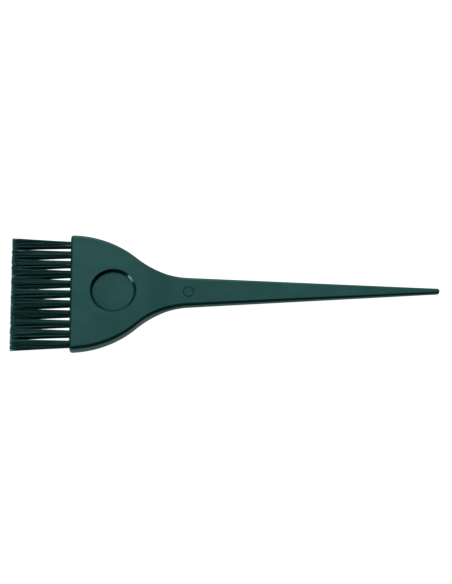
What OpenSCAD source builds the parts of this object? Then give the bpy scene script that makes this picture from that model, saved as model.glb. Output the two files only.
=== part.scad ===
// Tint brush: one moulded body with a wide paddle head and a thin tail, and a single row
// of nylon bristle tufts, each folded over a flat wire anchor at the bottom of its own hole.
// The brush lies flat. +X runs from the bristles to the tail, +Y across the head, +Z up.
// The origin is under the middle of the whole brush, on the surface that it lies on.

/* [Overall] */
// Length from the bristle tips to the end of the tail
brush_len = 215; // [190:1:240]
// Length of bristle that stands out of the head
bristle_len = 29.5; // [20:0.5:40]

/* [Head] */
// Thickness of the head
head_t = 7.5; // [6.5:0.1:10]
// Radius of the bulging side of the head, seen from above
head_side_r = 50.6; // [46:0.2:58]
// Rounding of the head's two front corners, seen from above
front_corner_r = 1.5; // [0.8:0.1:1.6]
// Rounding of the front face's edges
front_edge_r = 0.8; // [0.4:0.1:1.2]
// Rounding of the long edges
edge_r = 1.7; // [0.8:0.1:2]

/* [Neck and tail] */
// Distance from the front face to the narrow neck
neck_dist = 58.9; // [56:0.1:66]
// Width at the neck
neck_w = 15.2; // [12:0.2:18]
// Thickness just behind the neck's blend
neck_t = 5.0; // [4:0.1:6]
// Radius of the hollow side between neck and head, seen from above
neck_side_r = 42.2; // [38:0.2:50]
// Steepest angle of the side between neck and head
flare_angle = 41.5; // [36:0.5:44]
// Distance ahead of the neck where the head begins to thin
thin_start = 22; // [14:0.5:28]
// Distance ahead of the neck where it has thinned to the neck's thickness
thin_end = 6; // [2:0.5:10]
// Width just before the rounded end of the tail
tail_w = 2.5; // [2:0.1:4]
// Thickness of the tail
tail_t = 3.0; // [2.4:0.1:4]

/* [Thumb recess] */
// Diameter of the round recess at its rim
recess_d = 23; // [16:0.5:24]
// Depth of the recess
recess_depth = 1.2; // [0.5:0.1:1.6]
// Width of the sloping wall between the rim and the flat floor, seen from above
recess_wall_w = 1.1; // [0.8:0.1:3]
// Distance from the front face to the middle of the recess
recess_dist = 21.3; // [21.2:0.1:26]

/* [Moulding ring] */
// Diameter of the fine ring moulded into the top of the neck
ring_d = 5.2; // [3:0.1:8]
// Width of the ring's groove
ring_groove_w = 0.4; // [0.2:0.05:0.6]
// Depth of the ring's groove
ring_groove_depth = 0.2; // [0.1:0.05:0.4]
// Distance from the front face to the middle of the ring
ring_dist = 58.8; // [56:0.1:70]
// Shift of the ring across the neck, away from its middle
ring_shift = -0.4; // [-1:0.1:1]

/* [Tufts] */
// Number of tufts in the row
tuft_count = 11; // [7:1:11]
// Width of the row over its outer holes
row_w = 57.4; // [56:0.1:57.6]
// Shift of the row across the head, away from its middle
row_shift = -0.4; // [-0.4:0.1:0.4]
// Diameter of each tuft hole
hole_d = 3.9; // [3:0.1:4]
// Depth of each tuft hole
hole_depth = 9; // [7:0.1:9]
// Gap between a tuft and the wall of its hole
tuft_gap = 0.02; // [0.01:0.01:0.05]
// Diameter of a tuft at its tips
tuft_tip_d = 5.1; // [4:0.1:5.1]

/* [Anchors] */
// Length of each wire anchor, which is longer than its hole is wide
anchor_len = 4.6; // [4.4:0.1:4.9]
// Width of the flat wire along the hole
anchor_w = 1.5; // [1:0.1:2]
// Thickness of the flat wire
anchor_t = 0.3; // [0.2:0.05:0.4]
// Turn of each wire away from upright, about its hole
anchor_turn = 30; // [0:5:40]
// Bristle fold left between the wire and the bottom of the hole
fold_len = 0.9; // [0.5:0.1:1.5]

/* [Smoothness] */
// Flat steps in each rounded long edge
edge_steps = 4; // [2:1:6]
// Spacing of the cross-sections along the curved sides
section_step = 2.6; // [1.5:0.1:5]

/* [Hidden] */
$fn = 48;
// How far each cutter reaches past the surface that it opens
overshoot = 0.5;
// Gap between each wire and the slots that it sits in
anchor_gap = 0.01;
// Length left off the tail's rounded end, so that it ends in a small flat
end_cut = 0.05;
// Largest share of the half width or half thickness that an edge's rounding takes
round_share = 0.62;
front_x = bristle_len - brush_len / 2;
tail_x = brush_len / 2;
mid_z = head_t / 2;
tuft_pitch = (row_w - hole_d) / (tuft_count - 1);
hole_end_x = front_x + hole_depth;
anchor_x = hole_end_x - fold_len - anchor_w / 2;
recess_x = front_x + recess_dist;
ring_x = front_x + ring_dist;

// Side of the brush seen from above: a straight handle side, a hollow arc at the neck and
// a bulging arc along the head, each tangent to the next.
neck_x = front_x + neck_dist;
tail_r = tail_w / 2;
handle_slope = (neck_w - tail_w) / 2 / (tail_x - neck_x);
handle_angle = atan(handle_slope);
blend_x = neck_x - neck_side_r * (sin(flare_angle) - sin(handle_angle));
blend_half_w = neck_w / 2 + neck_side_r * (cos(handle_angle) - cos(flare_angle));

// The head keeps its full thickness up to thin_x0 and has thinned to the neck at thin_x1.
thin_x0 = neck_x - thin_start;
thin_x1 = neck_x - thin_end;

function two_digits(i) = i < 10 ? str("0", i) : str(i);
function tuft_name(i) = str("bristle_tuft_", two_digits(i));
function anchor_name(i) = str("anchor_wire_", two_digits(i));
function tuft_y(i) = row_shift + (i - (tuft_count + 1) / 2) * tuft_pitch;

// How far a rounded end of radius r pulls a side in, at a distance d from the end
function end_inset(d, r) = d >= r ? 0 : r - sqrt(r * r - (r - d) * (r - d));

function handle_side(x) = neck_w / 2 - (x - neck_x) * handle_slope;
function neck_side(x) =
    let (s = sin(handle_angle) + (neck_x - x) / neck_side_r)
    neck_w / 2 + neck_side_r * (cos(handle_angle) - sqrt(1 - s * s));
function head_side(x) =
    let (s = sin(flare_angle) - (blend_x - x) / head_side_r)
    blend_half_w + head_side_r * (sqrt(1 - s * s) - cos(flare_angle));
function side(x) = x > neck_x ? handle_side(x) : x > blend_x ? neck_side(x) : head_side(x);

function smooth(u) = u * u * (3 - 2 * u);
function handle_t(x) = neck_t + (tail_t - neck_t) * (x - thin_x1) / (tail_x - thin_x1);
function body_t(x) =
    x < thin_x0 ? head_t :
    x > thin_x1 ? handle_t(x) :
    head_t + (neck_t - head_t) * smooth((x - thin_x0) / (thin_x1 - thin_x0));

function half_w(x) =
    side(x) - end_inset(x - front_x, front_corner_r) - end_inset(tail_x + end_cut - x, tail_r);
function half_t(x) =
    body_t(x) / 2 - end_inset(x - front_x, front_edge_r) - end_inset(tail_x + end_cut - x, tail_r);
function round_r(x) = min(edge_r, round_share * half_w(x), round_share * half_t(x));

// One cross-section: a rectangle with rounded corners, as a ring of points
function section(x) =
    let (r = round_r(x), y = half_w(x) - r, z = half_t(x) - r)
    [for (corner = [0:3]) for (j = [0:edge_steps])
        let (
            a = 90 * (corner + j / edge_steps),
            y_sign = corner == 0 || corner == 3 ? 1 : -1,
            z_sign = corner < 2 ? 1 : -1
        )
        [x, y_sign * y + r * cos(a), mid_z + z_sign * z + r * sin(a)]];

// Places of the cross-sections: close together round each end, evenly spaced along the
// curved sides, and none along the straight handle.
function evenly(x0, x1) =
    let (n = ceil((x1 - x0) / section_step))
    [for (k = [0:n - 1]) x0 + (x1 - x0) * k / n];
section_places = concat(
    [for (a = [0:22.5:67.5]) front_x + front_corner_r * (1 - cos(a))],
    evenly(front_x + front_corner_r, blend_x),
    evenly(blend_x, neck_x),
    [neck_x],
    [for (a = [90:-18:18]) tail_x - tail_r * (1 - cos(a))],
    [tail_x]
);

// A closed skin over the cross-sections
module lofted_blank() {
    ring_size = 4 * (edge_steps + 1);
    ring_count = len(section_places);
    skin_points = [for (x = section_places) each section(x)];
    skin_faces = [
        for (k = [0:ring_count - 2]) for (j = [0:ring_size - 1])
            let (n = (j + 1) % ring_size)
            [k * ring_size + j, k * ring_size + n, (k + 1) * ring_size + n, (k + 1) * ring_size + j]
    ];
    front_face = [for (j = [ring_size - 1:-1:0]) j];
    tail_face = [for (j = [0:ring_size - 1]) (ring_count - 1) * ring_size + j];
    polyhedron(points = skin_points, faces = concat(skin_faces, [front_face, tail_face]), convexity = 4);
}

// The cutter for one thumb recess: a flat floor inside a straight sloping wall
module thumb_recess() {
    rim_r = recess_d / 2;
    outline = [
        [0, -recess_depth],
        [rim_r - recess_wall_w, -recess_depth],
        [rim_r, 0],
        [rim_r, overshoot],
        [0, overshoot]
    ];
    translate([recess_x, 0, head_t])
        rotate_extrude($fn = 96)
            polygon(outline);
}

// The cutter for the fine ring on top of the neck
module moulding_ring() {
    ring_floor_z = mid_z + half_t(ring_x) - ring_groove_depth;
    translate([ring_x, ring_shift, ring_floor_z])
        difference() {
            cylinder(d = ring_d + ring_groove_w, h = 1);
            translate([0, 0, -overshoot])
                cylinder(d = ring_d - ring_groove_w, h = 1 + 2 * overshoot);
        }
}

module tuft_hole(i) {
    translate([front_x - overshoot, tuft_y(i), mid_z])
        rotate([0, 90, 0])
            cylinder(d = hole_d, h = hole_depth + overshoot);
}

// The flat wire of one anchor, made larger all round by gap where it is used as a cutter
module flat_wire(i, gap = 0) {
    translate([anchor_x, tuft_y(i), mid_z])
        rotate([anchor_turn, 0, 0])
            cube([anchor_w + 2 * gap, anchor_t + 2 * gap, anchor_len + 2 * gap], center = true);
}

module brush_body() {
    color("#2b4e4a")
        difference() {
            lofted_blank();
            thumb_recess();
            translate([0, 0, head_t])
                mirror([0, 0, 1])
                    thumb_recess();
            moulding_ring();
            for (i = [1:tuft_count]) {
                tuft_hole(i);
                flat_wire(i, anchor_gap);
            }
        }
}

// One bundle of bristles: round in its hole, then spreading towards the tips. The slot holds
// the wire that the bundle is folded over.
module bristle_tuft(i) {
    root_r = hole_d / 2 - tuft_gap;
    tip_r = tuft_tip_d / 2;
    root_end = hole_depth - tuft_gap;
    tip_round = 0.6;
    outline = [
        [0, -root_end],
        [root_r, -root_end],
        [root_r, 0],
        [tip_r, bristle_len - tip_round],
        [tip_r - tip_round, bristle_len],
        [0, bristle_len]
    ];
    color("#132927")
        difference() {
            translate([front_x, tuft_y(i), mid_z])
                rotate([0, -90, 0])
                    rotate_extrude()
                        polygon(outline);
            flat_wire(i, anchor_gap);
        }
}

module anchor_wire(i) {
    color("#b9a36a")
        flat_wire(i);
}

brush_body();
for (i = [1:tuft_count]) {
    bristle_tuft(i);
    anchor_wire(i);
}
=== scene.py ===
"""Looks of the tint brush: a moulded dark green body, eleven nylon tufts and their wire anchors.

Everything is in metres, in the frame of the CAD model: +X from the bristles to the tail,
+Y across the head, +Z up, with the brush lying on the floor at z = 0.
"""

import math
import random

import bmesh
import bpy
from mathutils import Matrix, Vector
from mathutils.geometry import delaunay_2d_cdt


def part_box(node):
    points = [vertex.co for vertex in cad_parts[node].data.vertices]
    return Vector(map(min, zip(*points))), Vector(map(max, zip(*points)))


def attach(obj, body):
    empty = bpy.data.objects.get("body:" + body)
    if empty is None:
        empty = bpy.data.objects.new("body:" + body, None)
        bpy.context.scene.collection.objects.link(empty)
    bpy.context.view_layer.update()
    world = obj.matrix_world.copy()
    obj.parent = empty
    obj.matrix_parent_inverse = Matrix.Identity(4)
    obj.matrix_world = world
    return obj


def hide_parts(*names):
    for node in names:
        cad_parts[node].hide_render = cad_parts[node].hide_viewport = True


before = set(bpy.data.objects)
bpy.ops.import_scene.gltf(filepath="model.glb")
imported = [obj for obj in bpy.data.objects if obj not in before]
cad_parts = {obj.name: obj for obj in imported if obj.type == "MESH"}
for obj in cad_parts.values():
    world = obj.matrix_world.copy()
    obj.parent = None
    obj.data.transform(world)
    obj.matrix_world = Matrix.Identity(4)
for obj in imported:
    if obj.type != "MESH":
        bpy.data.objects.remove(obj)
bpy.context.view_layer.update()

MM = 0.001
TINY = 1e-9
WELD = 1e-7

# ---------------------------------------------------------------- places taken from the frame

body_low, body_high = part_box("brush_body")
FRONT_X = body_low[0]
TAIL_X = body_high[0]
MID_Z = (body_low[2] + body_high[2]) / 2
HEAD_T = body_high[2] - body_low[2]
TUFTS = sorted(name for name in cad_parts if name.startswith("bristle_tuft_"))
ANCHORS = sorted(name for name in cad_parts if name.startswith("anchor_wire_"))

# ---------------------------------------------------------------- shape of the moulded body

# The sizes of part.scad, with the fine details that only this model has.
HEAD_SIDE_R = 50.6 * MM
FRONT_CORNER_R = 1.5 * MM
FRONT_EDGE_R = 0.8 * MM
EDGE_R = 1.7 * MM
ROUND_SHARE = 0.62
NECK_DIST = 58.9 * MM
NECK_W = 15.2 * MM
NECK_T = 5.0 * MM
NECK_SIDE_R = 42.2 * MM
FLARE_ANGLE = math.radians(41.5)
TAIL_W = 2.5 * MM
TAIL_T = 3.0 * MM
THIN_START = 22 * MM
THIN_END = 6 * MM
WALL_DRAFT = math.tan(math.radians(1.5))
PARTING_RIDGE = 0.05 * MM
PARTING_RIDGE_W = 0.16 * MM
RIDGE_FOOT_LIMIT = 0.5
RIDGE_CREST = 0.35

RECESS_R = 11.5 * MM
RECESS_DEPTH = 1.2 * MM
RECESS_WALL_W = 1.1 * MM
RECESS_DIST = 21.3 * MM
RIM_ROUND = 0.03 * MM

RING_R = 2.6 * MM
RING_GROOVE_W = 0.4 * MM
RING_GROOVE_DEPTH = 0.2 * MM
RING_DIST = 58.8 * MM
RING_SHIFT = -0.4 * MM
PIN_MARK_R = 0.3 * MM
PIN_MARK_DEPTH = 0.1 * MM
PIN_MARK_STEP = 0.15

HOLE_R = 1.95 * MM
HOLE_DEPTH = 9 * MM
HOLE_RIM = 0.08 * MM

NECK_X = FRONT_X + NECK_DIST
TAIL_R = TAIL_W / 2
END_CUT = 0.05 * MM
HANDLE_SLOPE = (NECK_W - TAIL_W) / 2 / (TAIL_X - NECK_X)
HANDLE_ANGLE = math.atan(HANDLE_SLOPE)
BLEND_X = NECK_X - NECK_SIDE_R * (math.sin(FLARE_ANGLE) - math.sin(HANDLE_ANGLE))
BLEND_HALF_W = NECK_W / 2 + NECK_SIDE_R * (math.cos(HANDLE_ANGLE) - math.cos(FLARE_ANGLE))
THIN_X0 = NECK_X - THIN_START
THIN_X1 = NECK_X - THIN_END
RECESS_X = FRONT_X + RECESS_DIST
RECESS_SLOPE = math.atan(RECESS_DEPTH / RECESS_WALL_W)
RIM_REACH = RIM_ROUND * math.tan(RECESS_SLOPE / 2)
RING_X = FRONT_X + RING_DIST


def end_inset(d, r):
    """How far a rounded end of radius r pulls a side in, at a distance d from the end."""
    if d >= r:
        return 0.0
    return r - math.sqrt(max(r * r - (r - d) ** 2, 0.0))


def side(x):
    """Half the body's width, seen from above, without its rounded ends."""
    if x > NECK_X:
        return NECK_W / 2 - (x - NECK_X) * HANDLE_SLOPE
    if x > BLEND_X:
        s = math.sin(HANDLE_ANGLE) + (NECK_X - x) / NECK_SIDE_R
        return NECK_W / 2 + NECK_SIDE_R * (math.cos(HANDLE_ANGLE) - math.sqrt(1 - s * s))
    s = math.sin(FLARE_ANGLE) - (BLEND_X - x) / HEAD_SIDE_R
    return BLEND_HALF_W + HEAD_SIDE_R * (math.sqrt(1 - s * s) - math.cos(FLARE_ANGLE))


def smooth(u):
    """An even S-curve from 0 to 1."""
    return u * u * (3 - 2 * u)


def thickness(x):
    """The body's thickness without its rounded ends."""
    if x < THIN_X0:
        return HEAD_T
    if x > THIN_X1:
        return NECK_T + (TAIL_T - NECK_T) * (x - THIN_X1) / (TAIL_X - THIN_X1)
    return HEAD_T + (NECK_T - HEAD_T) * smooth((x - THIN_X0) / (THIN_X1 - THIN_X0))


def tail_inset(x):
    return end_inset(TAIL_X + END_CUT - x, TAIL_R)


def half_w(x):
    return side(x) - end_inset(x - FRONT_X, FRONT_CORNER_R) - tail_inset(x)


def half_t(x):
    return thickness(x) / 2 - end_inset(x - FRONT_X, FRONT_EDGE_R) - tail_inset(x)


def round_r(x):
    """Radius of the long edges, smaller where the body is thin."""
    return min(EDGE_R, ROUND_SHARE * half_w(x), ROUND_SHARE * half_t(x))


def flat_edge(x):
    """Half the width of the flat top or bottom, between the rounded edges."""
    return half_w(x) - round_r(x)


# ---------------------------------------------------------------- mesh helpers

class Skin:
    """Collects faces given by their corner points, and welds them into one smooth mesh at the end.

    Each face has a rank. Where faces meet, the normals follow those of the highest rank, so that
    a flat stays flat right up to the rounding beside it.
    """

    ROUNDED, WALL, FLAT = 0, 1, 2

    def __init__(self):
        self.points = []
        self.faces = []
        self.ranks = []

    def face(self, *corners, rank=ROUNDED):
        start = len(self.points)
        self.points.extend(tuple(p) for p in corners)
        self.faces.append(list(range(start, len(self.points))))
        self.ranks.append(rank)

    def loft(self, rows, ranks=None):
        """Quads between rows of points of the same length; ranks has one value for each column."""
        for row_a, row_b in zip(rows, rows[1:]):
            for k in range(len(row_a) - 1):
                rank = ranks[k] if ranks else self.ROUNDED
                self.face(row_a[k], row_a[k + 1], row_b[k + 1], row_b[k], rank=rank)

    def to_object(self, name):
        mesh = bpy.data.meshes.new(name)
        mesh.from_pydata(self.points, [], self.faces)
        bm = bmesh.new()
        bm.from_mesh(mesh)
        rank = bm.faces.layers.int.new("rank")
        for f, value in zip(bm.faces, self.ranks):
            f[rank] = value
        bmesh.ops.remove_doubles(bm, verts=bm.verts, dist=WELD)
        bmesh.ops.dissolve_degenerate(bm, edges=bm.edges, dist=WELD)
        bmesh.ops.recalc_face_normals(bm, faces=bm.faces)
        normals = []
        for v in bm.verts:
            highest = max((f[rank] for f in v.link_faces), default=0)
            normal = Vector((0, 0, 0))
            for f in v.link_faces:
                if f[rank] == highest:
                    normal += f.normal * f.calc_area()
            normals.append(normal.normalized())
        for f in bm.faces:
            f.smooth = True
        bm.faces.layers.int.remove(rank)
        bm.to_mesh(mesh)
        bm.free()
        mesh.normals_split_custom_set_from_vertices(normals)
        piece = bpy.data.objects.new(name, mesh)
        bpy.context.scene.collection.objects.link(piece)
        return piece


def circle_points(centre, radius, count):
    angles = [2 * math.pi * k / count for k in range(count)]
    return [
        (centre[0] + radius * math.cos(a), centre[1] + radius * math.sin(a))
        for a in angles
    ]


def fill_flat(skin, outline, holes, lift):
    """Triangles over a flat outline with round holes; lift turns a flat (a, b) into a point."""
    flat = [Vector(p) for p in outline]
    rings = [list(range(len(outline)))]
    for centre, radius, count in holes:
        start = len(flat)
        flat.extend(Vector(p) for p in circle_points(centre, radius, count))
        rings.append(list(range(start, start + count)))
    edges = [(ring[k], ring[(k + 1) % len(ring)]) for ring in rings for k in range(len(ring))]
    verts, _, faces, *_ = delaunay_2d_cdt(flat, edges, [], 1, TINY)
    for corners in faces:
        middle = sum((verts[c] for c in corners), Vector((0, 0))) / len(corners)
        if any((middle - Vector(centre)).length < radius for centre, radius, _ in holes):
            continue
        skin.face(*[lift(verts[c]) for c in corners], rank=Skin.FLAT)


def quarter(steps):
    """Evenly spaced angles over a quarter turn."""
    return [math.pi / 2 * k / steps for k in range(steps + 1)]


# ---------------------------------------------------------------- the body's mesh

EDGE_STEPS = 8
END_STEPS = 10
RIM_STEPS = 4
GROOVE_STEPS = 10
PIN_STEPS = 4
HOLE_STEPS = 3
HEAD_STEP = 1.3 * MM
NECK_STEP = 1.0 * MM
THINNING_STEP = 0.8 * MM
HANDLE_STEP = 8 * MM
RECESS_SEGMENTS = 160
RING_SEGMENTS = 72
HOLE_SEGMENTS = 36


def wall_profile(x, y_sign):
    """One side of a cross-section, from the flat top round the edge and down to the flat bottom."""
    r = round_r(x)
    y = half_w(x) - r
    z = half_t(x) - r
    upper = []
    for a in quarter(EDGE_STEPS):
        draft = WALL_DRAFT * z * math.sin(a)
        upper.append((y + r * math.sin(a) - draft, z + r * math.cos(a)))
    ridge_z = min(PARTING_RIDGE_W, RIDGE_FOOT_LIMIT * z)
    ridge = PARTING_RIDGE * min(1.0, half_w(x) / EDGE_R)
    # The wall runs down to the ridge's foot, and then out to its crest.
    upper.append((y + r - WALL_DRAFT * ridge_z, ridge_z))
    upper.append((y + r + ridge, RIDGE_CREST * ridge_z))
    lower = [(py, -pz) for py, pz in reversed(upper)]
    return [(x, y_sign * py, MID_Z + pz) for py, pz in upper + lower]


def wall_ranks():
    """The rank of each strip of a wall: edge, drafted wall, ridge, drafted wall, edge."""
    rounded = [Skin.ROUNDED] * EDGE_STEPS
    return rounded + [Skin.WALL] + [Skin.ROUNDED] * 3 + [Skin.WALL] + rounded


def stations():
    """Places of the cross-sections along X, closer together where the shape turns."""
    def evenly(x0, x1, step):
        n = max(1, math.ceil((x1 - x0) / step))
        return [x0 + (x1 - x0) * k / n for k in range(n)]

    tail_end = TAIL_X + END_CUT
    front = [FRONT_X + FRONT_CORNER_R * (1 - math.cos(a)) for a in quarter(END_STEPS)[:-1]]
    # The first two angles of the tail's rounding lie past its cut end.
    tail = [tail_end - TAIL_R * (1 - math.cos(a)) for a in reversed(quarter(END_STEPS)[2:])]
    return (
        sorted(front + [FRONT_X + FRONT_EDGE_R])
        + evenly(FRONT_X + FRONT_CORNER_R, BLEND_X, HEAD_STEP)
        + evenly(BLEND_X, THIN_X0, NECK_STEP)
        + evenly(THIN_X0, THIN_X1, THINNING_STEP)
        + evenly(THIN_X1, NECK_X, NECK_STEP)
        + evenly(NECK_X, tail_end - TAIL_R, HANDLE_STEP)
        + tail
        + [TAIL_X]
    )


def revolve(skin, place, z_sign, profile, count, ranks, slope=0.0):
    """Turns a profile of (radius, depth) about an upright axis, closed by a fan at its middle."""
    x, y, z = place
    rings = []
    for radius, depth in profile:
        ring = circle_points((x, y), radius, count)
        rings.append([(px, py, z - z_sign * (depth + slope * (px - x))) for px, py in ring])
    columns = [list(column) for column in zip(*rings)]
    skin.loft(columns + columns[:1], ranks)
    centre = (x, y, z - z_sign * profile[-1][1])
    last = rings[-1]
    for k in range(count):
        skin.face(last[k], last[(k + 1) % count], centre, rank=ranks[-1])


def add_recess(skin, z_sign):
    """The thumb recess: a straight sloping wall between a fine round rim and a fine round foot."""
    foot_r = RECESS_R - RECESS_WALL_W
    profile = []
    for k in range(RIM_STEPS + 1):
        a = RECESS_SLOPE * k / RIM_STEPS
        drop = RIM_ROUND * (1 - math.cos(a))
        profile.append((RECESS_R + RIM_REACH - RIM_ROUND * math.sin(a), drop))
    for k in range(RIM_STEPS + 1):
        a = RECESS_SLOPE * (1 - k / RIM_STEPS)
        rise = RIM_ROUND * (1 - math.cos(a))
        profile.append((foot_r - RIM_REACH + RIM_ROUND * math.sin(a), RECESS_DEPTH - rise))
    profile.append((foot_r / 2, RECESS_DEPTH))
    place = (RECESS_X, 0, MID_Z + z_sign * HEAD_T / 2)
    rounded = [Skin.ROUNDED] * RIM_STEPS
    ranks = rounded + [Skin.WALL] + rounded + [Skin.FLAT, Skin.FLAT]
    revolve(skin, place, z_sign, profile, RECESS_SEGMENTS, ranks)


def add_moulding_ring(skin):
    """A fine round groove with a small pin mark in its middle, as a mould insert leaves."""
    groove = []
    for k in range(GROOVE_STEPS + 1):
        a = math.pi * k / GROOVE_STEPS
        depth = RING_GROOVE_DEPTH * (1 - math.cos(2 * a)) / 2
        groove.append((RING_R + RING_GROOVE_W / 2 * math.cos(a), depth))
    pin = []
    for k, a in enumerate(quarter(PIN_STEPS)):
        pin.append((PIN_MARK_R * (1 - PIN_MARK_STEP * k), PIN_MARK_DEPTH * math.sin(a)))
    place = (RING_X, RING_SHIFT, MID_Z + half_t(RING_X))
    slope = (NECK_T - TAIL_T) / 2 / (TAIL_X - THIN_X1)
    ranks = [Skin.ROUNDED] * GROOVE_STEPS + [Skin.FLAT] + [Skin.ROUNDED] * (PIN_STEPS + 1)
    revolve(skin, place, 1, groove + pin, RING_SEGMENTS, ranks, slope)


def add_tuft_hole(skin, y):
    """One blind hole in the front face, with a fine round rim."""
    profile = [
        (HOLE_R + HOLE_RIM * (1 - math.sin(a)), HOLE_RIM * (1 - math.cos(a)))
        for a in quarter(HOLE_STEPS)
    ]
    profile += [(HOLE_R, HOLE_DEPTH * k / HOLE_STEPS) for k in range(1, HOLE_STEPS + 1)]
    rows = []
    for radius, depth in profile:
        ring = circle_points((y, MID_Z), radius, HOLE_SEGMENTS)
        ring.append(ring[0])
        rows.append([(FRONT_X + depth, py, pz) for py, pz in ring])
    skin.loft(rows)
    centre = (FRONT_X + HOLE_DEPTH, y, MID_Z)
    for k in range(HOLE_SEGMENTS):
        skin.face(rows[-1][k], rows[-1][k + 1], centre, rank=Skin.FLAT)


def tuft_centre(name):
    low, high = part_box(name)
    return (low[1] + high[1]) / 2


def add_flats(skin, places, z_sign):
    """The flat top or bottom: triangles where it has an opening, and quads along the rest."""
    head_start = min(k for k, x in enumerate(places) if x >= FRONT_X + FRONT_CORNER_R - TINY)
    head_end = max(k for k, x in enumerate(places) if x <= THIN_X0 + TINY)
    neck_start = min(k for k, x in enumerate(places) if x >= THIN_X1 - TINY)
    neck_end = max(k for k, x in enumerate(places) if x <= TAIL_X + END_CUT - TAIL_R + TINY)

    def on_flat(x, y):
        return (x, y, MID_Z + z_sign * half_t(x))

    for first, last in ((0, head_start), (head_end, neck_start), (neck_end, len(places) - 1)):
        for x0, x1 in zip(places[first:last], places[first + 1:last + 1]):
            y0, y1 = flat_edge(x0), flat_edge(x1)
            rounded = x0 < FRONT_X + FRONT_EDGE_R - TINY or first == neck_end
            skin.face(
                on_flat(x0, -y0), on_flat(x1, -y1), on_flat(x1, y1), on_flat(x0, y0),
                rank=Skin.ROUNDED if rounded else Skin.FLAT,
            )
    recess = ((RECESS_X, 0), RECESS_R + RIM_REACH, RECESS_SEGMENTS)
    ring = ((RING_X, RING_SHIFT), RING_R + RING_GROOVE_W / 2, RING_SEGMENTS)
    for first, last, holes in (
        (head_start, head_end, [recess]),
        (neck_start, neck_end, [ring] if z_sign == 1 else []),
    ):
        right = [(x, flat_edge(x)) for x in places[first:last + 1]]
        left = [(x, -y) for x, y in reversed(right)]
        fill_flat(skin, right + left, holes, lambda p: on_flat(p[0], p[1]))


def end_outline(x):
    """The whole cross-section at x, as one closed outline."""
    return wall_profile(x, 1) + list(reversed(wall_profile(x, -1)))


def build_body():
    skin = Skin()
    places = stations()
    for y_sign in (1, -1):
        skin.loft([wall_profile(x, y_sign) for x in places], wall_ranks())
    for z_sign in (1, -1):
        add_flats(skin, places, z_sign)
        add_recess(skin, z_sign)
    add_moulding_ring(skin)

    front = [(y, z) for _, y, z in end_outline(places[0])]
    holes = [((tuft_centre(name), MID_Z), HOLE_R + HOLE_RIM, HOLE_SEGMENTS) for name in TUFTS]
    fill_flat(skin, front, holes, lambda p: (FRONT_X, p[0], p[1]))
    for name in TUFTS:
        add_tuft_hole(skin, tuft_centre(name))
    skin.face(*end_outline(places[-1]))
    return skin.to_object("moulded_body")


# ---------------------------------------------------------------- the tufts

FILAMENT_R = 0.125 * MM
FILAMENT_SIDES = 6
FILAMENTS = 80
PACK_GAP = 0.03 * MM
CUT_END_SHARE = 0.75
LEG_STEPS = 8
FOLD_STEPS = 6
TUFT_SEED = 100

# The trim: the mean length, how it changes across the row, and how uneven it is.
BRISTLE_LEN = 29.1 * MM
TRIM_SLOPE = 0.012
TRIM_SCATTER = 0.2 * MM

# How far the tips reach to either side of a tuft's middle, in mm, from +Y to -Y. The first and
# last are the outer sides of the row, and each other value is for both tufts beside that gap.
TIP_REACH = (3.2, 2.2, 2.5, 2.85, 3.25, 2.55, 2.85, 2.65, 2.8, 2.9, 2.4, 2.85)
TIP_RISE = 2.5 * MM
TIP_SCATTER = 0.09 * MM
BOW_SCATTER = 0.05 * MM

# A few filaments stray from the others.
STRAY_SHARE = 0.025
STRAY = 0.5 * MM
STRAY_BOW = 0.3

ANCHOR_BACK_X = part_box(ANCHORS[0])[1][0]
ANCHOR_T = 0.3 * MM
ANCHOR_TURN = math.radians(30)
LEG_START_X = ANCHOR_BACK_X - 0.4 * MM
FOLD_LEN = FRONT_X + HOLE_DEPTH - ANCHOR_BACK_X
FOLD_CLEARANCE = 2.4 * FILAMENT_R

# The pattern that half_disc_spots packs a half disc with, in shares of its pitch.
SPOT_SPREAD = 1.03
SPOT_ROW = 0.87
SPOT_SHAKE_ALONG = 0.12
SPOT_SHAKE_OUT = 0.15


def half_disc_spots(count, radius, least, rng):
    """Slightly shaken spots (a, b) over the half disc a*a + b*b < radius*radius, b > least."""
    spots = []
    area = math.pi * radius * radius / 2 - 2 * radius * least
    pitch = math.sqrt(area / count) * SPOT_SPREAD
    rows = int(radius / pitch) + 2
    for j in range(rows):
        for k in range(-rows, rows + 1):
            a = pitch * (k + (0.5 if j % 2 else 0.0))
            a += rng.uniform(-SPOT_SHAKE_ALONG, SPOT_SHAKE_ALONG) * pitch
            b = least + pitch * SPOT_ROW * j + rng.uniform(0.0, SPOT_SHAKE_OUT) * pitch
            if a * a + b * b < radius * radius:
                spots.append((a, b))
    rng.shuffle(spots)
    return spots[:count]


def tube(points, radii, sides):
    """Vertices and faces of a closed tube along points, with one radius for each point."""
    verts = []
    faces = []
    side_axis = Vector((0, 0.3, 1)).normalized()
    count = len(points)
    for k, p in enumerate(points):
        ahead = points[min(k + 1, count - 1)] - points[max(k - 1, 0)]
        ahead.normalize()
        side_axis = (side_axis - ahead * side_axis.dot(ahead)).normalized()
        other = ahead.cross(side_axis)
        for j in range(sides):
            a = 2 * math.pi * j / sides
            verts.append(p + (side_axis * math.cos(a) + other * math.sin(a)) * radii[k])
    for k in range(count - 1):
        for j in range(sides):
            n = (j + 1) % sides
            faces.append([k * sides + j, k * sides + n, (k + 1) * sides + n, (k + 1) * sides + j])
    faces.append(list(reversed(range(sides))))
    faces.append([(count - 1) * sides + j for j in range(sides)])
    return verts, faces


def square_from_disc(a, b):
    """Spreads a point of the unit disc evenly over the unit square."""
    r = math.hypot(a, b)
    if r == 0:
        return 0.0, 0.0
    if abs(a) >= abs(b):
        s = math.copysign(r, a)
        return s, s * math.atan(b / a) * 4 / math.pi
    t = math.copysign(r, b)
    return t * math.atan(a / b) * 4 / math.pi, t


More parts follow.
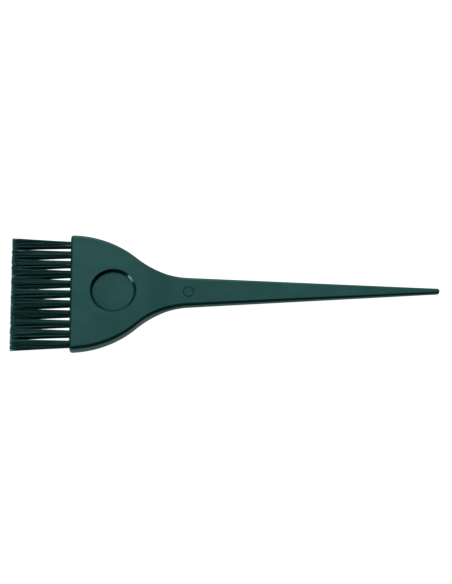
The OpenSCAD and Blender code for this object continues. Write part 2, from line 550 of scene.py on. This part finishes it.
def leg(root, centre, reach, length, rng):
    """Points of one half of a filament, from just in front of the anchor out to its tip."""
    s, t = square_from_disc(root.y / HOLE_R, root.z / HOLE_R)
    stray = STRAY if rng.random() < STRAY_SHARE else 0.0
    spread = TIP_SCATTER + stray
    tip = Vector((0, s * (reach[0] if s > 0 else reach[1]), t * TIP_RISE))
    tip += Vector((0, rng.gauss(0, spread), rng.gauss(0, spread)))
    bow = Vector((0, rng.gauss(0, BOW_SCATTER + STRAY_BOW * stray), rng.gauss(0, BOW_SCATTER)))
    start = Vector((LEG_START_X, 0, 0)) + centre + root
    mouth = Vector((FRONT_X, 0, 0)) + centre + root
    points = [start, start.lerp(mouth, 0.5), mouth]
    for k in range(1, LEG_STEPS + 1):
        u = k / LEG_STEPS
        along = Vector((FRONT_X - length * u, 0, 0)) + centre
        points.append(along + root.lerp(tip, u) + bow * math.sin(math.pi * u))
    return points


TUFT_PITCH = abs(tuft_centre(TUFTS[1]) - tuft_centre(TUFTS[0]))
TOP_TUFT = max(TUFTS, key=tuft_centre)


def build_tuft(name, index):
    """A tuft of filaments, each folded double behind the anchor with a leg at either side of it."""
    rng = random.Random(TUFT_SEED + index)
    centre = Vector((0, tuft_centre(name), MID_Z))
    along = Vector((0, -math.sin(ANCHOR_TURN), math.cos(ANCHOR_TURN)))
    across = Vector((0, math.cos(ANCHOR_TURN), math.sin(ANCHOR_TURN)))
    pack_r = HOLE_R - PACK_GAP - FILAMENT_R
    least = ANCHOR_T / 2 + FILAMENT_R
    first = half_disc_spots(FILAMENTS, pack_r, least, rng)
    second = half_disc_spots(FILAMENTS, pack_r, least, rng)
    from_top = round((tuft_centre(TOP_TUFT) - centre.y) / TUFT_PITCH)
    reach = (TIP_REACH[from_top] * MM, TIP_REACH[from_top + 1] * MM)
    trim = BRISTLE_LEN + TRIM_SLOPE * centre.y
    verts = []
    faces = []
    for (a1, b1), (a2, b2) in zip(first, second):
        root1 = along * a1 + across * b1
        root2 = along * a2 - across * b2
        leg1 = leg(root1, centre, reach, trim + rng.gauss(0, TRIM_SCATTER), rng)
        leg2 = leg(root2, centre, reach, trim + rng.gauss(0, TRIM_SCATTER), rng)
        fold_depth = FILAMENT_R + (FOLD_LEN - FOLD_CLEARANCE) * (b1 + b2) / 2 / pack_r
        fold = []
        for k in range(FOLD_STEPS + 1):
            angle = math.pi * k / FOLD_STEPS
            spot = centre + root1.lerp(root2, (1 - math.cos(angle)) / 2)
            fold.append(Vector((ANCHOR_BACK_X + fold_depth * math.sin(angle), spot.y, spot.z)))
        path = list(reversed(leg1)) + fold + leg2
        radii = [FILAMENT_R] * len(path)
        radii[0] = radii[-1] = CUT_END_SHARE * FILAMENT_R
        v, f = tube(path, radii, FILAMENT_SIDES)
        base = len(verts)
        verts.extend(v)
        faces.extend([[c + base for c in corners] for corners in f])
    piece_name = "tuft_%02d" % (index + 1)
    mesh = bpy.data.meshes.new(piece_name)
    mesh.from_pydata(verts, [], faces)
    mesh.shade_smooth()
    piece = bpy.data.objects.new(piece_name, mesh)
    bpy.context.scene.collection.objects.link(piece)
    return piece


# ---------------------------------------------------------------- the anchors

ANCHOR_HALF_LEN = 2.3 * MM
ANCHOR_EDGE_R = 0.09 * MM
ANCHOR_STEPS = 8
ANCHOR_EDGE_STEPS = 3
ANCHOR_BOW = 0.02 * MM
ANCHOR_TILT = 0.01
ANCHOR_SEED = 500

# The outer fifth of each half is pinched and sheared, where the wire was cut.
CUT_SHARE = 0.2
CUT_PINCH = 0.04 * MM
CUT_SHEAR = 0.05 * MM


def build_anchor(name, index):
    """A piece of flat wire with softened edges and pinched, sheared ends."""
    rng = random.Random(ANCHOR_SEED + index)
    low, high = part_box(name)
    centre = Vector([(low[k] + high[k]) / 2 for k in range(3)])
    half_width = (high[0] - low[0]) / 2
    half_thick = ANCHOR_T / 2
    skin = Skin()
    rows = []
    for k in range(ANCHOR_STEPS + 1):
        u = 2 * k / ANCHOR_STEPS - 1
        near_end = max(0.0, abs(u) - (1 - CUT_SHARE)) / CUT_SHARE
        bow = ANCHOR_BOW * math.cos(math.pi * u / 2)
        ring = []
        for turns, (x_sign, y_sign) in enumerate(((1, 1), (-1, 1), (-1, -1), (1, -1))):
            x = x_sign * (half_width - ANCHOR_EDGE_R - CUT_PINCH * near_end)
            y = y_sign * (half_thick - ANCHOR_EDGE_R) + bow
            z = u * ANCHOR_HALF_LEN + CUT_SHEAR * x / half_width * near_end * (1 if u > 0 else -1)
            for j in range(ANCHOR_EDGE_STEPS + 1):
                a = math.pi / 2 * (turns + j / ANCHOR_EDGE_STEPS)
                ring.append((x + ANCHOR_EDGE_R * math.cos(a), y + ANCHOR_EDGE_R * math.sin(a), z))
        ring.append(ring[0])
        rows.append(ring)
    turn = Matrix.Rotation(ANCHOR_TURN, 3, "X")
    tilt = Matrix.Rotation(rng.gauss(0, ANCHOR_TILT), 3, "X")
    placed = [[tuple(centre + turn @ tilt @ Vector(p)) for p in ring] for ring in rows]
    skin.loft(placed)
    skin.face(*placed[0][:-1], rank=Skin.FLAT)
    skin.face(*placed[-1][:-1], rank=Skin.FLAT)
    return skin.to_object("anchor_%02d" % (index + 1))


# ---------------------------------------------------------------- materials

# The body's tones: its satin surface from dark to pale, and painted shade: the darker tones of its
# rounded edges, of its front edge and of the recess's wall.
SATIN_DARK = (0.041, 0.114, 0.109)
SATIN_PALE = (0.049, 0.139, 0.133)
EDGE_SHADE = (0.014, 0.062, 0.060)
FRONT_SHADE = (0.003, 0.030, 0.028)
WALL_SHADE = (0.003, 0.045, 0.043)
FRONT_SHADE_W = 0.4 * MM
FRONT_SHADE_FADE = 0.8 * MM
WALL_SHADE_FADE = 0.2 * MM
WALL_SHADE_MARGIN = 0.1 * MM
POLISH_MARGIN = 0.06 * MM
POLISH_FADE = 0.02 * MM
POLISHED_ROUGHNESS = 0.24
POLISHED_SPECULAR = 0.5

# How far the normal leans up, as |Z|, where the painted edge shade is absent and where it is full.
EDGE_FADE_TO_FLAT = (0.98, 0.86)
EDGE_FADE_TO_WALL = (0.1, 0.4)

NYLON_TONES = (
    (0.0, (0.012, 0.064, 0.066)),
    (0.35, (0.015, 0.094, 0.090)),
    (0.7, (0.020, 0.126, 0.112)),
    (1.0, (0.030, 0.150, 0.126)),
)
BRASS_DARK = (0.42, 0.30, 0.11)
BRASS_PALE = (0.55, 0.42, 0.17)
PAPER_DARK = (0.115, 0.115, 0.115)
PAPER_PALE = (0.125, 0.125, 0.125)
PAPER_GLOW = 0.7


class Nodes:
    """A short way to build a material's node tree."""

    def __init__(self, name):
        self.material = bpy.data.materials.new(name)
        self.material.use_nodes = True
        self.tree = self.material.node_tree
        self.shader = self.tree.nodes["Principled BSDF"]
        coordinates = self.node("ShaderNodeTexCoord").outputs
        self.place = coordinates["Object"]
        self.normal = coordinates["Normal"]

    def node(self, kind, **settings):
        made = self.tree.nodes.new(kind)
        for key, value in settings.items():
            setattr(made, key, value)
        return made

    def link(self, source, target):
        self.tree.links.new(source, target)

    def noise(self, scale, detail=2.0, stretch=None, roughness=0.5):
        texture = self.node("ShaderNodeTexNoise")
        texture.inputs["Scale"].default_value = scale
        texture.inputs["Detail"].default_value = detail
        texture.inputs["Roughness"].default_value = roughness
        source = self.place
        if stretch:
            mapping = self.node("ShaderNodeMapping")
            mapping.inputs["Scale"].default_value = stretch
            self.link(self.place, mapping.inputs["Vector"])
            source = mapping.outputs["Vector"]
        self.link(source, texture.inputs["Vector"])
        return texture.outputs["Fac"]

    def ramp(self, source, *stops):
        ramp = self.node("ShaderNodeValToRGB")
        elements = ramp.color_ramp.elements
        while len(elements) < len(stops):
            elements.new(0.5)
        for element, (position, colour) in zip(elements, stops):
            element.position = position
            element.color = (*colour, 1.0)
        self.link(source, ramp.inputs["Fac"])
        return ramp.outputs["Color"]

    def span(self, source, low, high):
        spread = self.node("ShaderNodeMapRange")
        spread.inputs["To Min"].default_value = low
        spread.inputs["To Max"].default_value = high
        self.link(source, spread.inputs["Value"])
        return spread.outputs["Result"]

    def mix(self, share, colour_a, colour_b):
        """Colour a where share is 0, and colour b where it is 1."""
        mix = self.node("ShaderNodeMix", data_type="RGBA")
        self.link(share, mix.inputs["Factor"])
        self.link(colour_a, mix.inputs["A"])
        mix.inputs["B"].default_value = (*colour_b, 1.0)
        return mix.outputs["Result"]

    def blend(self, share, value_a, value_b):
        mix = self.node("ShaderNodeMix", data_type="FLOAT")
        self.link(share, mix.inputs["Factor"])
        self.link(value_a, mix.inputs["A"])
        mix.inputs["B"].default_value = value_b
        return mix.outputs["Result"]

    def arithmetic(self, operation, value, other=None):
        """One arithmetic step on a socket, with a plain number as its second value."""
        made = self.node("ShaderNodeMath", operation=operation)
        self.link(value, made.inputs[0])
        if other is not None:
            made.inputs[1].default_value = other
        return made.outputs["Value"]

    def fade(self, source, at, width):
        """1 where the source is below at, falling to 0 over the width above it."""
        fade = self.node("ShaderNodeMapRange")
        fade.inputs["From Min"].default_value = at
        fade.inputs["From Max"].default_value = at + width
        fade.inputs["To Min"].default_value = 1.0
        fade.inputs["To Max"].default_value = 0.0
        self.link(source, fade.inputs["Value"])
        return fade.outputs["Result"]

    def ring_mask(self, x, radius, half_width, fade_width):
        """1 within half_width of a circle about the upright axis at x, fading to 0 beside it."""
        offset = self.node("ShaderNodeVectorMath", operation="SUBTRACT")
        offset.inputs[1].default_value = (x, 0, 0)
        self.link(self.place, offset.inputs[0])
        flat = self.node("ShaderNodeVectorMath", operation="MULTIPLY")
        flat.inputs[1].default_value = (1, 1, 0)
        self.link(offset.outputs["Vector"], flat.inputs[0])
        length = self.node("ShaderNodeVectorMath", operation="LENGTH")
        self.link(flat.outputs["Vector"], length.inputs[0])
        apart = self.arithmetic("SUBTRACT", length.outputs["Value"], radius)
        return self.fade(self.arithmetic("ABSOLUTE", apart), half_width, fade_width)

    def front_shade_mask(self, x, fade_width):
        """Where the painted shade of the front edge goes: 1 up to x, fading to 0 behind it."""
        split = self.node("ShaderNodeSeparateXYZ")
        self.link(self.place, split.inputs["Vector"])
        return self.fade(split.outputs["X"], x, fade_width)

    def edge_shade_mask(self):
        """Where the painted shade of the rounded edges goes: 1 on rounded edges, fading to 0 where
        the surface faces up, down or sideways.
        """
        split = self.node("ShaderNodeSeparateXYZ")
        self.link(self.normal, split.inputs["Vector"])
        upright = self.arithmetic("ABSOLUTE", split.outputs["Z"])
        share = self.node("ShaderNodeMath", operation="MULTIPLY")
        for k, (none_at, all_at) in enumerate((EDGE_FADE_TO_FLAT, EDGE_FADE_TO_WALL)):
            fade = self.node("ShaderNodeMapRange")
            fade.inputs["From Min"].default_value = none_at
            fade.inputs["From Max"].default_value = all_at
            self.link(upright, fade.inputs["Value"])
            self.link(fade.outputs["Result"], share.inputs[k])
        return share.outputs["Value"]

    def bump(self, source, distance, strength, under=None):
        bump = self.node("ShaderNodeBump")
        bump.inputs["Distance"].default_value = distance
        bump.inputs["Strength"].default_value = strength
        self.link(source, bump.inputs["Height"])
        if under is not None:
            self.link(under, bump.inputs["Normal"])
        return bump.outputs["Normal"]


def body_plastic():
    """Dark green moulded plastic: satin with faint flow marks, polished on the recess's wall, and
    painted shade darkening its rounded edges, its front edge and the recess's wall.
    """
    m = Nodes("dark_green_plastic")
    inputs = m.shader.inputs
    wall_r = RECESS_R - RECESS_WALL_W / 2
    half = RECESS_WALL_W / 2
    polished = m.ring_mask(RECESS_X, wall_r, half - POLISH_MARGIN, POLISH_FADE)
    # Painted shade: the recess's wall is darkened all round, standing in for the shade that falls
    # in it.
    wall = m.ring_mask(
        RECESS_X, wall_r - WALL_SHADE_MARGIN, half + WALL_SHADE_MARGIN, WALL_SHADE_FADE
    )
    flow = m.noise(scale=90, detail=4.0, stretch=(0.6, 1.0, 1.0), roughness=0.6)
    satin = m.ramp(flow, (0.25, SATIN_DARK), (0.75, SATIN_PALE))
    # Painted shade: the rounded edges are darkened where the light falls off them.
    edge_shaded = m.mix(m.edge_shade_mask(), satin, EDGE_SHADE)
    # Painted shade: the front edge of the head is darkened.
    front_shaded = m.mix(m.front_shade_mask(FRONT_X + FRONT_SHADE_W, FRONT_SHADE_FADE), edge_shaded, FRONT_SHADE)
    m.link(m.mix(wall, front_shaded, WALL_SHADE), inputs["Base Color"])
    dull = m.span(m.noise(scale=240, detail=3.0), low=0.34, high=0.42)
    m.link(m.blend(polished, dull, POLISHED_ROUGHNESS), inputs["Roughness"])
    grain = m.bump(m.noise(scale=5200), distance=0.004 * MM, strength=0.5)
    waves = m.noise(scale=110, detail=1.0)
    ripple = m.bump(waves, distance=0.02 * MM, strength=0.35, under=grain)
    m.link(ripple, inputs["Normal"])
    specular = m.span(flow, low=0.2, high=0.3)
    m.link(m.blend(polished, specular, POLISHED_SPECULAR), inputs["Specular IOR Level"])
    inputs["IOR"].default_value = 1.42
    inputs["Specular Tint"].default_value = (0.66, 1.0, 0.88, 1.0)
    return m.material


def bristle_nylon():
    """Near-black green nylon: each filament has its own tone, with fine drawn lines along it."""
    m = Nodes("bristle_nylon")
    inputs = m.shader.inputs
    filament = m.node("ShaderNodeNewGeometry").outputs["Random Per Island"]
    m.link(m.ramp(filament, *NYLON_TONES), inputs["Base Color"])
    streaks = m.noise(scale=900, stretch=(0.1, 1.0, 1.0))
    m.link(m.span(streaks, low=0.32, high=0.48), inputs["Roughness"])
    drawn = m.noise(scale=6000, detail=1.0, stretch=(0.04, 1.0, 1.0))
    m.link(m.bump(drawn, distance=0.003 * MM, strength=0.4), inputs["Normal"])
    inputs["IOR"].default_value = 1.36
    return m.material


def anchor_brass():
    """Drawn brass wire: fine scratches along it and a slightly dull skin."""
    m = Nodes("anchor_brass")
    inputs = m.shader.inputs
    dull = m.noise(scale=1800, detail=3.0)
    m.link(m.ramp(dull, (0.3, BRASS_DARK), (0.7, BRASS_PALE)), inputs["Base Color"])
    m.link(m.span(dull, low=0.25, high=0.45), inputs["Roughness"])
    scratches = m.noise(scale=9000, detail=1.0, stretch=(1.0, 1.0, 0.05))
    m.link(m.bump(scratches, distance=0.002 * MM, strength=0.5), inputs["Normal"])
    inputs["Metallic"].default_value = 1.0
    return m.material


def studio_paper():
    """Plain studio paper that glows, so that it looks white and shows almost no shadow."""
    m = Nodes("studio_paper")
    inputs = m.shader.inputs
    fibres = m.noise(scale=900)
    m.link(m.ramp(fibres, (0.3, PAPER_DARK), (0.7, PAPER_PALE)), inputs["Base Color"])
    inputs["Roughness"].default_value = 0.9
    inputs["Specular IOR Level"].default_value = 0.0
    inputs["Emission Color"].default_value = (1.0, 1.0, 1.0, 1.0)
    inputs["Emission Strength"].default_value = PAPER_GLOW
    return m.material


# ---------------------------------------------------------------- stage, light and camera

STUDIO_R = 3.2
STUDIO_HEIGHT = 4.0
STUDIO_SEGMENTS = 96

# The room's brightness rises from dark to pale while the direction's Y goes over this range.
ROOM_FROM_Y = -0.05
ROOM_TO_Y = 0.45
ROOM_DARK = 0.03
ROOM_PALE = 0.55

# The camera's tilt is counted from straight down, and its aim from the origin, across its view.
CAMERA_TILT = math.radians(23.0)
CAMERA_YAW = math.radians(-3.3)
CAMERA_ROLL = math.radians(1.55)
CAMERA_DISTANCE = 0.70
CAMERA_LENS = 85.7
AIM_RIGHT = -0.2 * MM
AIM_UP = 1.79 * MM


def stage_object(name, verts, faces, paper):
    mesh = bpy.data.meshes.new(name)
    mesh.from_pydata(verts, [], faces)
    mesh.materials.append(paper)
    made = bpy.data.objects.new(name, mesh)
    bpy.context.scene.collection.objects.link(made)
    return made


def build_studio():
    """A round paper floor, and a round paper backdrop that neither lights nor shades the brush."""
    paper = studio_paper()
    count = STUDIO_SEGMENTS
    edge = [(x, y, 0.0) for x, y in circle_points((0, 0), STUDIO_R, count)]
    top = [(x, y, STUDIO_HEIGHT) for x, y, _ in edge]
    walls = [(k, (k + 1) % count, (k + 1) % count + count, k + count) for k in range(count)]
    stage_object("floor", edge, [tuple(range(count))], paper)
    backdrop = stage_object("backdrop", edge + top, walls, paper)
    backdrop.visible_diffuse = False
    backdrop.visible_glossy = False
    backdrop.visible_shadow = False


def softbox(name, azimuth, elevation, distance, size, radiance):
    """An area light that faces the brush, with its azimuth in degrees from +X towards +Y."""
    a, e = math.radians(azimuth), math.radians(elevation)
    place = Vector((math.cos(a) * math.cos(e), math.sin(a) * math.cos(e), math.sin(e))) * distance
    data = bpy.data.lights.new(name, "AREA")
    data.shape = "RECTANGLE"
    data.size, data.size_y = size
    data.energy = radiance * math.pi * size[0] * size[1]
    light = bpy.data.objects.new(name, data)
    light.location = place
    light.rotation_euler = place.to_track_quat("Z", "Y").to_euler()
    light.visible_camera = False
    bpy.context.scene.collection.objects.link(light)


def studio_walls():
    """The room round the brush: dark in front of it, and pale behind it."""
    world = bpy.data.worlds.new("studio_walls")
    world.use_nodes = True
    tree = world.node_tree
    place = tree.nodes.new("ShaderNodeTexCoord")
    split = tree.nodes.new("ShaderNodeSeparateXYZ")
    fade = tree.nodes.new("ShaderNodeMapRange")
    fade.interpolation_type = "SMOOTHSTEP"
    fade.inputs["From Min"].default_value = ROOM_FROM_Y
    fade.inputs["From Max"].default_value = ROOM_TO_Y
    fade.inputs["To Min"].default_value = ROOM_DARK
    fade.inputs["To Max"].default_value = ROOM_PALE
    tree.links.new(place.outputs["Generated"], split.inputs["Vector"])
    tree.links.new(split.outputs["Y"], fade.inputs["Value"])
    tree.links.new(fade.outputs["Result"], tree.nodes["Background"].inputs["Strength"])
    tree.nodes["Background"].inputs["Color"].default_value = (1.0, 1.0, 1.0, 1.0)
    return world


def build_light():
    softbox(
        "key_softbox",
        azimuth=98, elevation=36, distance=2.4, size=(1.2, 1.0), radiance=8.8,
    )
    softbox(
        "side_softbox",
        azimuth=196, elevation=13, distance=1.2, size=(0.5, 0.3), radiance=10.0,
    )
    bpy.context.scene.world = studio_walls()


def build_camera():
    """The camera looks down on the brush from in front of its long side."""
    level = math.cos(CAMERA_TILT)
    back = Vector((
        math.sin(CAMERA_YAW) * level, -math.sin(CAMERA_TILT), level * math.cos(CAMERA_YAW)
    ))
    back.normalize()
    right = Vector((0, 1, 0)).cross(back)
    right.normalize()
    up = back.cross(right)
    right, up = (
        right * math.cos(CAMERA_ROLL) - up * math.sin(CAMERA_ROLL),
        right * math.sin(CAMERA_ROLL) + up * math.cos(CAMERA_ROLL),
    )
    aim = right * AIM_RIGHT + up * AIM_UP
    x, y, z = (aim[k] + back[k] * CAMERA_DISTANCE for k in range(3))
    data = bpy.data.cameras.new("camera")
    data.lens = CAMERA_LENS
    data.sensor_width = 36
    data.clip_end = 20
    camera = bpy.data.objects.new("camera", data)
    camera.matrix_world = Matrix((
        (right.x, up.x, back.x, x),
        (right.y, up.y, back.y, y),
        (right.z, up.z, back.z, z),
        (0, 0, 0, 1),
    ))
    bpy.context.scene.collection.objects.link(camera)
    bpy.context.scene.camera = camera


# ---------------------------------------------------------------- the whole scene

def place_piece(piece, material, node):
    piece.data.materials.append(material)
    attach(piece, "root")
    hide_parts(node)


build_camera()
build_studio()
build_light()
bpy.context.scene.view_settings.view_transform = "Standard"
bpy.context.scene.view_settings.look = "High Contrast"

place_piece(build_body(), body_plastic(), "brush_body")
nylon = bristle_nylon()
for index, name in enumerate(TUFTS):
    place_piece(build_tuft(name, index), nylon, name)
brass = anchor_brass()
for index, name in enumerate(ANCHORS):
    place_piece(build_anchor(name, index), brass, name)
